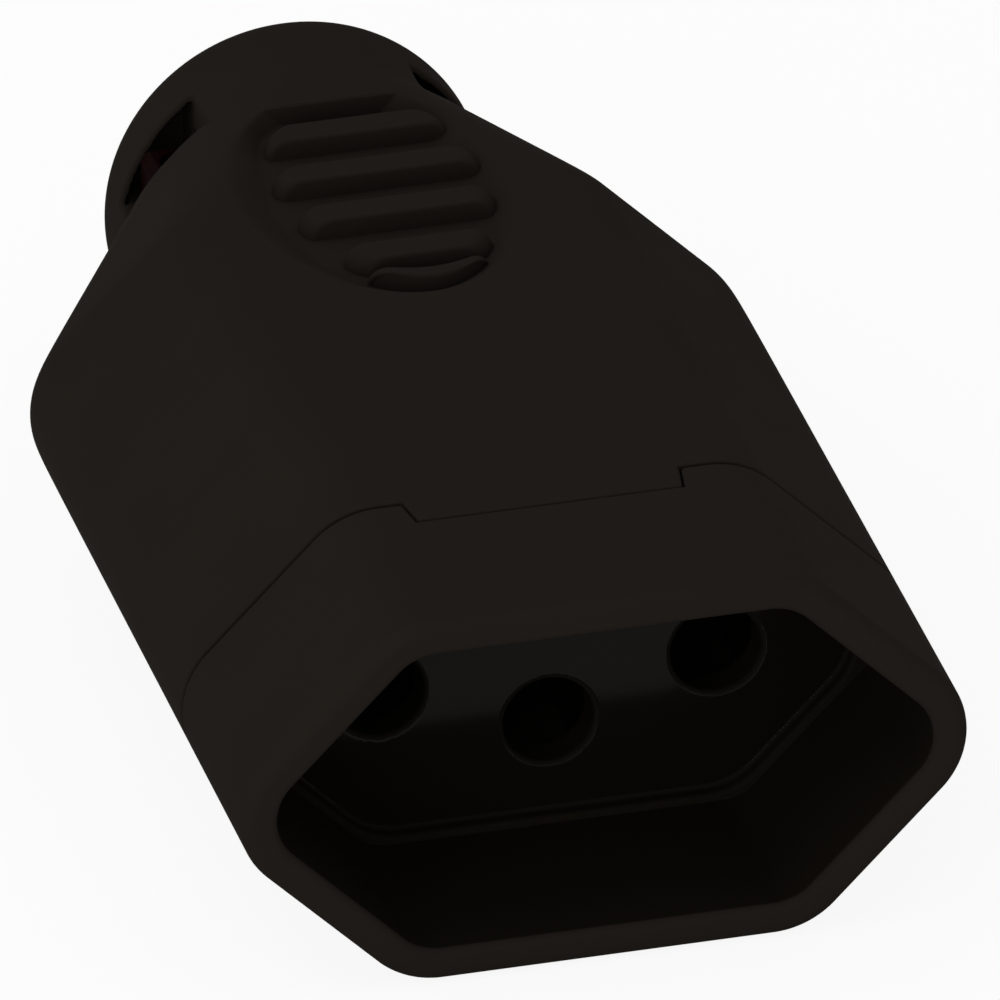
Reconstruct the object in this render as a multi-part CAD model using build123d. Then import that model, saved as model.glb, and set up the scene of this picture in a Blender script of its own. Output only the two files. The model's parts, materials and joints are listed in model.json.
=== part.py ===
from build123d import *
from math import atan2, cos, radians, sin, sqrt, tan
import os

os.makedirs("parts", exist_ok=True)

# In-line socket for three round pins: a socket front with a hexagonal recess, and a one-piece rear
# housing that runs from the same hexagon into a round neck. Millimetres, +Z up, the mating rim
# towards -Y and the cable entry towards +Y. The origin is under the middle of the body.

# Outer form of the body
BODY_LENGTH = 74.4
BODY_HEIGHT = 22.2
FLAT_WIDTH = 22.8           # top and bottom flats, to their sharp corners with the slants
VERTEX_RADIUS = 5.0         # side vertices of the hexagon
CORNER_RADIUS = 5.0         # corners between flats and slants
NECK_STEP = 0.3             # the round neck lies this far inside the flats
NECK_LENGTH = 8.9           # round part behind the taper
TAPER_LENGTH = 15.5         # from the hexagon to the round neck
SHOULDER_RADIUS = 4.0       # shoulder in plan
END_ROUNDING = 4.0
HOUSING_WALL = 2.0

# Pin pattern: two poles and an earth pin set below the line between them
PIN_DIAMETER = 4.8
PIN_SPACING = 19.0
EARTH_DROP = 3.0
PIN_LENGTH = 19.0
PIN_CLEARANCE = 0.15        # around a pin, in its hole

# Collar and recess
COLLAR_LENGTH = 13.9
COLLAR_WALL = 2.0
FLOOR_SETBACK = 0.9         # from the recess floor back to the seam
RECESS_DRAFT = 0.2          # the recess is this much smaller all round at its floor
RIM_OUTER_ROUNDING = 0.9
RIM_INNER_ROUNDING = 0.5
LEDGE_WIDTH = 0.45          # small step round the recess floor
LEDGE_HEIGHT = 0.9
FLOOR_THICKNESS = 2.2

# Joint between collar and housing
SEAM_GAP = 0.3
SPIGOT_CLEARANCE = 0.15
TONGUE_WIDTH = 14.9
TONGUE_FLARE = 0.3          # each side of the tongue widens by this to its root
TONGUE_LENGTH = 2.0
TONGUE_THICKNESS = 1.0
LUG_WIDTH = 6.0
LUG_LENGTH = 3.0
LUG_HEIGHT = 0.7
LUG_LAND = 0.6              # level crest of a lug, before its ramp
LUG_SETBACK = 8.0           # from the seam to the snap lugs
LUG_CLEARANCE = 0.15

# Contacts, folded from brass strip
STRIP_THICKNESS = 0.9
STRIP_HEIGHT = 6.4
JAW_GAP = 4.3               # at the throat, less than a pin, so that the jaws spring apart
JAW_ROOT_GAP = 5.2
JAW_LIP = 2.2               # length of the flared lead-in
BEND_RADIUS = 0.6           # inside of a fold in the strip
STRIP_CORNER = 1.0          # rounded corners at the end of the strip
CHAMBER_CLEARANCE = 0.35
CONTACT_END_PLAY = 0.1
PIN_TIP_ROOM = 0.5

# Contact retainer and terminals
RETAINER_THICKNESS = 2.4
SLOT_CLEARANCE = 0.2
BARRIER_THICKNESS = 1.2
BARRIER_LENGTH = 9.5
TERMINAL_SETBACK = 4.6      # from the retainer to the terminal screws
TERMINAL_MARGIN = 3.4       # from a terminal screw to the end of its strip
TERMINAL_SCREW_DIAMETER = 3.5
TERMINAL_HEAD_DIAMETER = 6.0
TERMINAL_HEAD_HEIGHT = 2.0
TERMINAL_TIP_ROOM = 0.9     # from the lowest screw tip to the housing
WIRE_PLATE_SIZE = 6.2
WIRE_PLATE_THICKNESS = 0.8
THREAD_CLEARANCE = 0.05
RETAINER_SCREW_DIAMETER = 2.9
RETAINER_SCREW_LENGTH = 9.0
RETAINER_HEAD_DIAMETER = 5.4
RETAINER_HEAD_HEIGHT = 2.0
RETAINER_SCREW_RISE = 4.9   # above the axis
DRIVE_SLOT_WIDTH = 0.8
DRIVE_SLOT_DEPTH = 0.9
HEAD_ROUNDING = 0.5

# Cable entry and cord clamp in the neck
CABLE_BORE = 11.5
BORE_ROUNDING = 0.8
END_RING_LENGTH = 6.05
WINDOW_WIDTH = 4.4
WINDOW_BOTTOM = 1.0         # below the axis
WINDOW_INNER = 6.2          # from the middle plane to the blind side of each window
SADDLE_OVERLAP = 2.0        # the cord saddle starts this far in front of the windows
SADDLE_TOP = 1.0            # below the axis
SADDLE_GROOVE = 12.3        # diameter of the hollow that the cord lies in
CLAMP_BAR_ROOM = 0.45       # over the bar, where it leaves the neck's bore through the windows
CLAMP_BAR_THICKNESS = 3.0
CLAMP_BAR_LENGTH = 18.6
CLAMP_BAR_CLEARANCE = 0.2
CLAMP_BAR_SCALLOP = 0.8     # hollow in the bar, over the cord
CLAMP_BAR_ROUNDING = 0.5    # its upper edges
CLAMP_SCREW_SPACING = 14.8
CLAMP_SCREW_DIAMETER = 2.5
CLAMP_SCREW_CLEARANCE = 0.15
CLAMP_HEAD_DIAMETER = 4.4
CLAMP_HEAD_HEIGHT = 1.5
CLAMP_HEAD_SEAT = 6.0       # below the axis
CLAMP_HEAD_CLEARANCE = 0.3

# Thumb grip on the top
GRIP_MIDDLE = 50.9          # from the mating rim
GRIP_WIDTH = 15.6
GRIP_LENGTH = 26.2
GRIP_DEPTH = 1.0
GRIP_SLOPE = 1.0            # run of the dished wall
GRIP_PAD_WIDTH = 12.9       # oval on which the ribs end
GRIP_PITCH = 4.65
GRIP_GROOVES = 5
GRIP_GROOVE_WIDTH = 1.8
RIB_CAP = 1.7               # what the first and last rib reach past their grooves
RIB_END_ROUNDING = 0.3
RIB_TOP_ROUNDING = 0.25

# Places worked out from the sizes above
AXIS_Z = BODY_HEIGHT / 2
FRONT_Y = -BODY_LENGTH / 2
NECK_RADIUS = BODY_HEIGHT / 2 - NECK_STEP
NECK_DIAMETER = 2 * NECK_RADIUS
RECESS_DEPTH = COLLAR_LENGTH - FLOOR_SETBACK
CLAMP_BAR_TOP = sqrt((NECK_RADIUS - HOUSING_WALL) ** 2 - WINDOW_INNER**2) - CLAMP_BAR_ROOM
CLAMP_BAR_BOTTOM = CLAMP_BAR_TOP - CLAMP_BAR_THICKNESS
HOLE_DIAMETER = PIN_DIAMETER + 2 * PIN_CLEARANCE
NECK_AT = BODY_LENGTH - NECK_LENGTH
SHOULDER_AT = NECK_AT - TAPER_LENGTH
WINDOW_REAR_AT = BODY_LENGTH - END_RING_LENGTH
WINDOW_FRONT_AT = WINDOW_REAR_AT - WINDOW_WIDTH
CHAMBER_AT = RECESS_DEPTH + FLOOR_THICKNESS
STRIP_BASE_AT = RECESS_DEPTH + PIN_LENGTH + PIN_TIP_ROOM
BLOCK_END_AT = STRIP_BASE_AT + STRIP_THICKNESS + CONTACT_END_PLAY
RETAINER_REAR_AT = BLOCK_END_AT + RETAINER_THICKNESS
TERMINAL_AT = RETAINER_REAR_AT + TERMINAL_SETBACK
STRIP_END_AT = TERMINAL_AT + TERMINAL_MARGIN
RIB_WIDTH = GRIP_PITCH - GRIP_GROOVE_WIDTH
GRIP_PAD_LENGTH = GRIP_GROOVES * GRIP_PITCH - RIB_WIDTH + 2 * RIB_CAP
TERMINAL_TIP = BODY_HEIGHT / 2 - HOUSING_WALL - TERMINAL_TIP_ROOM - EARTH_DROP - STRIP_HEIGHT / 2
CHAMBER_WIDTH = JAW_ROOT_GAP + 2 * STRIP_THICKNESS + 2 * CHAMBER_CLEARANCE
CHAMBER_HEIGHT = STRIP_HEIGHT + 2 * CHAMBER_CLEARANCE

HALF_CORNER = tan(radians(22.5))
ROUND_SPLIT = 2.0           # degrees of the round section that answer to a straight side of the hexagon
THROUGH = 60.0              # longer than any cut needs
SKIN = 0.5                  # overlap of solids that are joined
LINE_TOLERANCE = 0.001      # points this close stand on one line

# The pole and earth positions across the axis and above it
POLES = {
    "line": (-PIN_SPACING / 2, 0.0),
    "earth": (0.0, -EARTH_DROP),
    "neutral": (PIN_SPACING / 2, 0.0),
}


class Hexagon:
    """Flattened hexagon section with slants at 45 degrees and rounded corners."""

    def __init__(self, height, flat, vertex_radius, corner_radius):
        self.height = height
        self.flat = flat
        self.vertex_radius = vertex_radius
        self.corner_radius = corner_radius

    def half_width(self):
        """Distance from the middle to the rounded side vertex."""
        return (self.flat + self.height) / 2 - self.vertex_radius * (sqrt(2) - 1)

    def inset(self, depth):
        """The section that runs inside this one at an even distance."""
        return Hexagon(
            self.height - 2 * depth,
            self.flat - 2 * depth * HALF_CORNER,
            self.vertex_radius - depth,
            self.corner_radius - depth,
        )

    def towards_round(self, radius, share):
        """The section a given share of the way from this hexagon to a circle."""
        def blend(start, end):
            return start + (end - start) * share
        return Hexagon(
            blend(self.height, 2 * radius),
            blend(self.flat, 2 * radius * HALF_CORNER),
            blend(self.vertex_radius, radius),
            blend(self.corner_radius, radius),
        )

    def face(self):
        """The section as a flat face, its arcs and straight sides in turn from the right vertex."""
        corner_x = self.flat / 2 - self.corner_radius * HALF_CORNER
        corner_z = self.height / 2 - self.corner_radius
        vertex_x = (self.flat + self.height) / 2 - self.vertex_radius * sqrt(2)
        arcs = [
            CenterArc((vertex_x, 0), self.vertex_radius, -45, 90),
            CenterArc((corner_x, corner_z), self.corner_radius, 45, 45),
            CenterArc((-corner_x, corner_z), self.corner_radius, 90, 45),
            CenterArc((-vertex_x, 0), self.vertex_radius, 135, 90),
            CenterArc((-corner_x, -corner_z), self.corner_radius, 225, 45),
            CenterArc((corner_x, -corner_z), self.corner_radius, 270, 45),
        ]
        edges = []
        for arc, following in zip(arcs, arcs[1:] + arcs[:1]):
            edges += [arc, Line(arc @ 1, following @ 0)]
        return make_face(edges)


def round_face(radius):
    """A circle in twelve arcs, one for each arc and straight side of the hexagon."""
    edges = []
    for start, sweep in ((-45, 90), (45, 45), (90, 45), (135, 90), (225, 45), (270, 45)):
        edges.append(CenterArc((0, 0), radius, start + ROUND_SPLIT, sweep - 2 * ROUND_SPLIT))
        edges.append(CenterArc((0, 0), radius, start + sweep - ROUND_SPLIT, 2 * ROUND_SPLIT))
    return make_face(edges)


def across(distance):
    """The plane across the axis at a distance from the mating rim, with X across and Z up."""
    return Plane(origin=(0, FRONT_Y + distance, AXIS_Z), x_dir=(1, 0, 0), z_dir=(0, -1, 0))


def prism(face, start, end):
    """A section drawn out along the axis between two distances from the mating rim."""
    return extrude(across(start) * face, amount=end - start, dir=(0, 1, 0))


def block(x_range, distances, z_range):
    """A box from its ranges across, along from the mating rim and above the axis."""
    size = [end - start for start, end in (x_range, distances, z_range)]
    middle = [(start + end) / 2 for start, end in (x_range, distances, z_range)]
    return Pos(middle[0], FRONT_Y + middle[1], AXIS_Z + middle[2]) * Box(*size)


def upright(x, distance, bottom, top, diameter):
    """An upright cylinder between two heights above the axis."""
    place = Pos(x, FRONT_Y + distance, AXIS_Z + (bottom + top) / 2)
    return place * Cylinder(diameter / 2, top - bottom)


def lengthwise(x, z, start, end, diameter):
    """A cylinder along the axis between two distances from the mating rim."""
    return prism(Pos(x, z) * Circle(diameter / 2), start, end)


OUTER = Hexagon(BODY_HEIGHT, FLAT_WIDTH, VERTEX_RADIUS, CORNER_RADIUS)
SPIGOT = OUTER.inset(HOUSING_WALL + SPIGOT_CLEARANCE)


def taper_shares(hexagon, radius):
    """Distances and shares towards the round neck, with the shoulder rounded in plan."""
    narrowing = hexagon.half_width() - radius
    angle = atan2(narrowing, TAPER_LENGTH)
    lead = SHOULDER_RADIUS * tan(angle / 2)
    shares = []
    for turn in (0.0, 0.25, 0.5, 0.75, 1.0):
        along = SHOULDER_RADIUS * sin(angle * turn) - lead
        inwards = SHOULDER_RADIUS * (1 - cos(angle * turn))
        shares.append((SHOULDER_AT + along, inwards / narrowing))
    return shares


def body_form(inset, start, end):
    """Hexagon, taper and neck as one solid, at an even inset from the outer form."""
    hexagon = OUTER.inset(inset)
    radius = NECK_RADIUS - inset
    shares = taper_shares(OUTER, NECK_RADIUS)
    sections = [across(at) * hexagon.towards_round(radius, share).face() for at, share in shares]
    sections.append(across(NECK_AT) * round_face(radius))
    straight = prism(hexagon.face(), start, shares[0][0])
    neck = prism(round_face(radius), NECK_AT, end)
    return straight + loft(sections, ruled=True) + neck


def tongue_face(clearance):
    """Plan of the tongue on the front edge of the housing, wider at its root."""
    tip = TONGUE_WIDTH / 2 + clearance
    root = tip + TONGUE_FLARE
    tip_y = FRONT_Y + COLLAR_LENGTH - TONGUE_LENGTH - clearance
    root_y = FRONT_Y + COLLAR_LENGTH
    behind_y = root_y + SKIN
    return make_face(Polyline(
        (-tip, tip_y), (tip, tip_y), (root, root_y), (root, behind_y), (-root, behind_y), (-root, root_y),
        close=True,
    ))


def tongue(clearance):
    """The tongue itself, as thick as the outer skin that it continues."""
    top = Plane.XY.offset(AXIS_Z + BODY_HEIGHT / 2 - TONGUE_THICKNESS - clearance)
    return extrude(top * tongue_face(clearance), amount=TONGUE_THICKNESS + clearance)


def snap_lugs(clearance):
    """Two wedges, above and below the spigot, that click into pockets of the housing."""
    start = COLLAR_LENGTH + LUG_SETBACK
    half = LUG_WIDTH / 2 + clearance
    base = SPIGOT.height / 2
    wedge = make_face(Polyline(
        (FRONT_Y + start - clearance, AXIS_Z + base - SKIN),
        (FRONT_Y + start - clearance, AXIS_Z + base + LUG_HEIGHT + clearance),
        (FRONT_Y + start + LUG_LAND + clearance, AXIS_Z + base + LUG_HEIGHT + clearance),
        (FRONT_Y + start + LUG_LENGTH + clearance, AXIS_Z + base + clearance),
        (FRONT_Y + start + LUG_LENGTH + clearance, AXIS_Z + base - SKIN),
        close=True,
    ))
    upper = extrude(Plane.YZ * wedge, amount=half, both=True)
    return upper + mirror(upper, about=Plane.XY.offset(AXIS_Z))


def grip_ellipse(height, inset):
    """Oval of the thumb grip at a height, drawn in from the rim of the dish."""
    place = Pos(0, FRONT_Y + GRIP_MIDDLE, AXIS_Z + height)
    return place * Ellipse(GRIP_WIDTH / 2 - inset, GRIP_LENGTH / 2 - inset)


def grip_dish():
    """The dished oval that is sunk into the top."""
    top = BODY_HEIGHT / 2
    rise = GRIP_SLOPE / GRIP_DEPTH
    return loft([grip_ellipse(top + SKIN, -SKIN * rise), grip_ellipse(top - GRIP_DEPTH, GRIP_SLOPE)])


def grip_ribs():
    """The ribs across the dish, their ends on a smaller oval and their tops rounded."""
    foot = BODY_HEIGHT / 2 - GRIP_DEPTH - SKIN
    pad = Ellipse(GRIP_PAD_WIDTH / 2, GRIP_PAD_LENGTH / 2)
    ribs = []
    for index in range(GRIP_GROOVES + 1):
        offset = (index - GRIP_GROOVES / 2) * GRIP_PITCH
        strip = pad & (Pos(0, offset) * Rectangle(GRIP_WIDTH, RIB_WIDTH))
        strip = fillet(strip.vertices(), RIB_END_ROUNDING)
        place = Pos(0, FRONT_Y + GRIP_MIDDLE, AXIS_Z + foot)
        rib = extrude(place * strip, amount=GRIP_DEPTH + SKIN)
        top = rib.faces().sort_by(Axis.Z)[-1]
        ribs.append(fillet(top.edges(), RIB_TOP_ROUNDING))
    return ribs


def make_rear_housing():
    """One-piece moulded housing: hexagonal sleeve, taper, windowed neck and cable entry."""
    start = COLLAR_LENGTH + SEAM_GAP
    shell = body_form(0.0, start, BODY_LENGTH)
    rear_edges = shell.faces().sort_by(Axis.Y)[-1].edges()
    shell = fillet(rear_edges, END_ROUNDING)
    shell -= grip_dish()
    shell += grip_ribs()
    shell -= body_form(HOUSING_WALL, start - SKIN, WINDOW_REAR_AT)

    # the saddle fills the lower half of the neck under the cord
    saddle_span = (WINDOW_FRONT_AT - SADDLE_OVERLAP, WINDOW_REAR_AT + SKIN)
    saddle = block((-NECK_DIAMETER, NECK_DIAMETER), saddle_span, (-BODY_HEIGHT, -SADDLE_TOP))
    shell += saddle & body_form(HOUSING_WALL / 2, start, WINDOW_REAR_AT + SKIN)
    shell -= lengthwise(0, 0, saddle_span[0] - SKIN, WINDOW_REAR_AT, SADDLE_GROOVE)
    shell -= lengthwise(0, 0, WINDOW_REAR_AT - SKIN, BODY_LENGTH + SKIN, CABLE_BORE)
    bore_edge = shell.edges().filter_by(GeomType.CIRCLE).sort_by(Axis.Y)[-1]
    shell = fillet(bore_edge, BORE_ROUNDING)

    # side windows for the clamp bar, and the seats of its screws under the neck
    for side in (-1, 1):
        x_range = sorted((side * WINDOW_INNER, side * NECK_DIAMETER))
        shell -= block(x_range, (WINDOW_FRONT_AT, WINDOW_REAR_AT), (-WINDOW_BOTTOM, BODY_HEIGHT))
        x = side * CLAMP_SCREW_SPACING / 2
        middle = (WINDOW_FRONT_AT + WINDOW_REAR_AT) / 2
        shank = CLAMP_SCREW_DIAMETER + 2 * CLAMP_SCREW_CLEARANCE
        head = CLAMP_HEAD_DIAMETER + 2 * CLAMP_HEAD_CLEARANCE
        shell -= upright(x, middle, -BODY_HEIGHT, 0, shank)
        shell -= upright(x, middle, -BODY_HEIGHT, -CLAMP_HEAD_SEAT, head)

    # the tongue at the seam and the pockets of the snap lugs
    shell += tongue(0.0)
    shell -= snap_lugs(LUG_CLEARANCE)
    return shell


def make_socket_front():
    """Collar, recess, floor with pin holes, and the block that holds the contacts."""
    collar = prism(OUTER.face(), 0, COLLAR_LENGTH)
    rim = collar.faces().sort_by(Axis.Y)[0].edges()
    collar = fillet(rim, RIM_OUTER_ROUNDING)
    mouth = OUTER.inset(COLLAR_WALL)
    floor = OUTER.inset(COLLAR_WALL + RECESS_DRAFT)
    ledge_at = RECESS_DEPTH - LEDGE_HEIGHT
    collar -= loft([across(0) * mouth.face(), across(ledge_at) * floor.face()])
    collar -= prism(floor.inset(LEDGE_WIDTH).face(), ledge_at - SKIN, RECESS_DEPTH)
    mouth_edges = collar.faces().sort_by(Axis.Y)[0].inner_wires()[0].edges()
    collar = fillet(mouth_edges, RIM_INNER_ROUNDING)
    collar -= tongue(SPIGOT_CLEARANCE)

    front = collar + prism(SPIGOT.face(), COLLAR_LENGTH - SKIN, BLOCK_END_AT) + snap_lugs(0.0)
    for x, z in POLES.values():
        front -= lengthwise(x, z, RECESS_DEPTH - SKIN, CHAMBER_AT + SKIN, HOLE_DIAMETER)
        half_width = CHAMBER_WIDTH / 2
        half_height = CHAMBER_HEIGHT / 2
        front -= block(
            (x - half_width, x + half_width),
            (CHAMBER_AT, BLOCK_END_AT + SKIN),
            (z - half_height, z + half_height),
        )
    pilot = RETAINER_SCREW_DIAMETER + 2 * THREAD_CLEARANCE
    pilot_start = RETAINER_REAR_AT - RETAINER_SCREW_LENGTH - SKIN
    front -= lengthwise(0, RETAINER_SCREW_RISE, pilot_start, BLOCK_END_AT + SKIN, pilot)
    return front


def round_folds(plan, y, radius):
    """The plan of a folded strip with its corners at one place along the axis rounded."""
    corners = plan.vertices().filter_by_position(Axis.Y, y - LINE_TOLERANCE, y + LINE_TOLERANCE)
    return fillet(corners, radius)


def make_contact(x, z):
    """Two spring jaws on a folded base, with a terminal strip bent out behind it."""
    root = JAW_ROOT_GAP / 2
    throat = JAW_GAP / 2
    lip_at = CHAMBER_AT + CHAMBER_CLEARANCE
    throat_at = lip_at + JAW_LIP
    base_rear = STRIP_BASE_AT + STRIP_THICKNESS
    inner = [(root, lip_at), (throat, throat_at), (root, STRIP_BASE_AT)]
    outer = [
        (root + STRIP_THICKNESS, base_rear),
        (throat + STRIP_THICKNESS, throat_at),
        (root + STRIP_THICKNESS, lip_at),
    ]
    loop = inner + [(-px, py) for px, py in reversed(inner)]
    loop += [(-px, py) for px, py in reversed(outer)] + outer
    plan = make_face(Polyline(*[(x + px, FRONT_Y + py) for px, py in loop], close=True))
    plan = round_folds(plan, FRONT_Y + STRIP_BASE_AT, BEND_RADIUS)
    plan = round_folds(plan, FRONT_Y + base_rear, BEND_RADIUS + STRIP_THICKNESS)
    plan = round_folds(plan, FRONT_Y + throat_at, BEND_RADIUS)
    bottom = AXIS_Z + z - STRIP_HEIGHT / 2
    jaws = extrude(Plane.XY.offset(bottom) * plan, amount=STRIP_HEIGHT)
    strip = block(
        (x - WIRE_PLATE_SIZE / 2, x + WIRE_PLATE_SIZE / 2),
        (STRIP_BASE_AT, STRIP_END_AT),
        (z - STRIP_HEIGHT / 2, z - STRIP_HEIGHT / 2 + STRIP_THICKNESS),
    )
    strip = fillet(strip.edges().filter_by(Axis.Z).group_by(Axis.Y)[-1], STRIP_CORNER)
    tapped = TERMINAL_SCREW_DIAMETER + 2 * THREAD_CLEARANCE
    hole = upright(x, TERMINAL_AT, z - STRIP_HEIGHT, z, tapped)
    return jaws + strip - hole


def terminal_seat(z):
    """Height above the axis of the wire plate's underside, on the terminal strip."""
    return z - STRIP_HEIGHT / 2 + STRIP_THICKNESS


def make_wire_plate(x, z):
    """Square pressure plate with turned-down ends that a terminal screw presses on the wire."""
    seat = terminal_seat(z)
    half = WIRE_PLATE_SIZE / 2
    plate = block(
        (x - half, x + half),
        (TERMINAL_AT - TERMINAL_MARGIN + SLOT_CLEARANCE, TERMINAL_AT + TERMINAL_MARGIN - SLOT_CLEARANCE),
        (seat, seat + WIRE_PLATE_THICKNESS),
    )
    plate = fillet(plate.edges().filter_by(Axis.Z), WIRE_PLATE_THICKNESS)
    hole = upright(x, TERMINAL_AT, seat - SKIN, seat + THROUGH, TERMINAL_SCREW_DIAMETER + 4 * THREAD_CLEARANCE)
    return plate - hole


def slotted_screw(shank, shank_length, head, head_height):
    """Screw with its head on +Z, standing on the underside of the head at the origin."""
    body = Pos(0, 0, head_height / 2) * Cylinder(head / 2, head_height)
    body = fillet(body.edges().group_by(Axis.Z)[-1], HEAD_ROUNDING)
    body += Pos(0, 0, -shank_length / 2) * Cylinder(shank / 2, shank_length)
    slot = Pos(0, 0, head_height) * Box(head + SKIN, DRIVE_SLOT_WIDTH, 2 * DRIVE_SLOT_DEPTH)
    return body - slot


def make_terminal_screw(x, z):
    """Terminal screw with its head on the wire plate."""
    seat = terminal_seat(z) + WIRE_PLATE_THICKNESS
    length = WIRE_PLATE_THICKNESS + STRIP_THICKNESS + TERMINAL_TIP
    screw = slotted_screw(TERMINAL_SCREW_DIAMETER, length, TERMINAL_HEAD_DIAMETER, TERMINAL_HEAD_HEIGHT)
    return Pos(x, FRONT_Y + TERMINAL_AT, AXIS_Z + seat) * screw


def make_contact_retainer():
    """Insulating plate that closes the contact chambers, with barriers between the terminals."""
    plate = prism(SPIGOT.face(), BLOCK_END_AT, RETAINER_REAR_AT)
    for side in (-1, 1):
        x = side * PIN_SPACING / 4
        plate += block(
            (x - BARRIER_THICKNESS / 2, x + BARRIER_THICKNESS / 2),
            (RETAINER_REAR_AT - SKIN, RETAINER_REAR_AT + BARRIER_LENGTH),
            (-SPIGOT.height / 2, STRIP_HEIGHT / 2),
        )
    for x, z in POLES.values():
        half = WIRE_PLATE_SIZE / 2 + SLOT_CLEARANCE
        low = z - STRIP_HEIGHT / 2
        plate -= block(
            (x - half, x + half),
            (BLOCK_END_AT - SKIN, RETAINER_REAR_AT + SKIN),
            (low - SLOT_CLEARANCE, low + STRIP_THICKNESS + SLOT_CLEARANCE),
        )
    hole = RETAINER_SCREW_DIAMETER + 2 * CLAMP_SCREW_CLEARANCE
    return plate - lengthwise(0, RETAINER_SCREW_RISE, BLOCK_END_AT - SKIN, RETAINER_REAR_AT + SKIN, hole)


def make_retainer_screw():
    """Screw that holds the contact retainer on the block."""
    screw = slotted_screw(
        RETAINER_SCREW_DIAMETER, RETAINER_SCREW_LENGTH, RETAINER_HEAD_DIAMETER, RETAINER_HEAD_HEIGHT)
    place = Pos(0, FRONT_Y + RETAINER_REAR_AT, AXIS_Z + RETAINER_SCREW_RISE)
    return place * Rot(-90, 0, 0) * screw


def clamp_span():
    """Distances from the mating rim to the front and rear of the clamp bar."""
    return WINDOW_FRONT_AT + CLAMP_BAR_CLEARANCE, WINDOW_REAR_AT - CLAMP_BAR_CLEARANCE


def make_clamp_bar():
    """Bar across the neck that is drawn down on the cord, hollowed in the middle."""
    half = CLAMP_BAR_LENGTH / 2
    top = CLAMP_BAR_BOTTOM + CLAMP_BAR_THICKNESS
    bar = block((-half, half), clamp_span(), (CLAMP_BAR_BOTTOM, top))
    bar = fillet(bar.edges().filter_by(Axis.X).group_by(Axis.Z)[-1], CLAMP_BAR_ROUNDING)
    bar &= lengthwise(0, 0, WINDOW_FRONT_AT, WINDOW_REAR_AT, NECK_DIAMETER - 2 * CLAMP_BAR_CLEARANCE)
    radius = CABLE_BORE / 2
    drop = CLAMP_BAR_BOTTOM + CLAMP_BAR_SCALLOP - radius
    bar -= lengthwise(0, drop, WINDOW_FRONT_AT, WINDOW_REAR_AT, CABLE_BORE)
    for side in (-1, 1):
        x = side * CLAMP_SCREW_SPACING / 2
        middle = sum(clamp_span()) / 2
        bar -= upright(x, middle, 0, top + SKIN, CLAMP_SCREW_DIAMETER + 2 * THREAD_CLEARANCE)
    return bar


def make_clamp_screw(side):
    """Screw from below the neck into one end of the clamp bar."""
    length = CLAMP_HEAD_SEAT + CLAMP_BAR_BOTTOM + CLAMP_BAR_THICKNESS
    screw = slotted_screw(CLAMP_SCREW_DIAMETER, length, CLAMP_HEAD_DIAMETER, CLAMP_HEAD_HEIGHT)
    place = Pos(side * CLAMP_SCREW_SPACING / 2, FRONT_Y + sum(clamp_span()) / 2, AXIS_Z - CLAMP_HEAD_SEAT)
    return place * Rot(180, 0, 0) * screw


pieces = {
    "rear_housing": make_rear_housing(),
    "socket_front": make_socket_front(),
    "contact_retainer": make_contact_retainer(),
    "retainer_screw": make_retainer_screw(),
    "cord_clamp_bar": make_clamp_bar(),
    "clamp_screw_left": make_clamp_screw(-1),
    "clamp_screw_right": make_clamp_screw(1),
}
for pole, (pole_x, pole_z) in POLES.items():
    pieces[f"{pole}_contact"] = make_contact(pole_x, pole_z)
    pieces[f"{pole}_wire_plate"] = make_wire_plate(pole_x, pole_z)
    pieces[f"{pole}_terminal_screw"] = make_terminal_screw(pole_x, pole_z)

for node, shape in pieces.items():
    export_step(shape, f"parts/{node}.step")
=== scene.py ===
"""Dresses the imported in-line socket for a studio picture.

The two mouldings are built from distance fields, so that every edge has the small radius of a
mould, and take the place of their plain CAD nodes. The ribs of the thumb grip and the screws are
set out by Geometry Nodes. All other CAD nodes stay and only get a finish.
"""

import json
import logging
import math
from dataclasses import dataclass, field
from enum import Enum
from itertools import product
from typing import Callable, Sequence

import bpy
import numpy as np
from mathutils import Matrix, Vector

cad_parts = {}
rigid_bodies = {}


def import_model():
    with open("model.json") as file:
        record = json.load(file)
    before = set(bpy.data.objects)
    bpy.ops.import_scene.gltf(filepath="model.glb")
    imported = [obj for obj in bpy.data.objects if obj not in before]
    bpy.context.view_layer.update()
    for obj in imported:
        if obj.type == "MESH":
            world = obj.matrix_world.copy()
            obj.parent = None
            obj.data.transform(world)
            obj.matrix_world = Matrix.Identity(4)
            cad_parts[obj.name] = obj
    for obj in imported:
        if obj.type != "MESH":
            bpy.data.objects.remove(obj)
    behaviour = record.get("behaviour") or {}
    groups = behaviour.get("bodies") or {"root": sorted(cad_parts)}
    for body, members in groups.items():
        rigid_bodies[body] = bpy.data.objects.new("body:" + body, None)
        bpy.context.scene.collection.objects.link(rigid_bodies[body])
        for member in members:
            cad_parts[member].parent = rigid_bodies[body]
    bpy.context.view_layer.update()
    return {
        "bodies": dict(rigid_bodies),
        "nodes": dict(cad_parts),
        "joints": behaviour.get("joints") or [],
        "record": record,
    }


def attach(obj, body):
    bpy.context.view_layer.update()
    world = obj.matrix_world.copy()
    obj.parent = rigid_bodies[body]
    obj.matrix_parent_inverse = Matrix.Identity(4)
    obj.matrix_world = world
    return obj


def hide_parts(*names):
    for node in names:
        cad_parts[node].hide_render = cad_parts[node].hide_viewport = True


log = logging.getLogger("inline_socket")

Array = np.ndarray
Field = Callable[[Array, Array, Array], Array]

MM = 0.001
# Keeps a divisor off zero.
TINY = 1e-6
BODY_LENGTH = 74.4
BODY_HEIGHT = 22.2
# Half the 45 degrees between a flat and a slant of the body, as a tangent.
HALF_CORNER = math.tan(math.radians(22.5))


class Body(Enum):
    """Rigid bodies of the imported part."""

    ROOT = "root"


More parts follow.
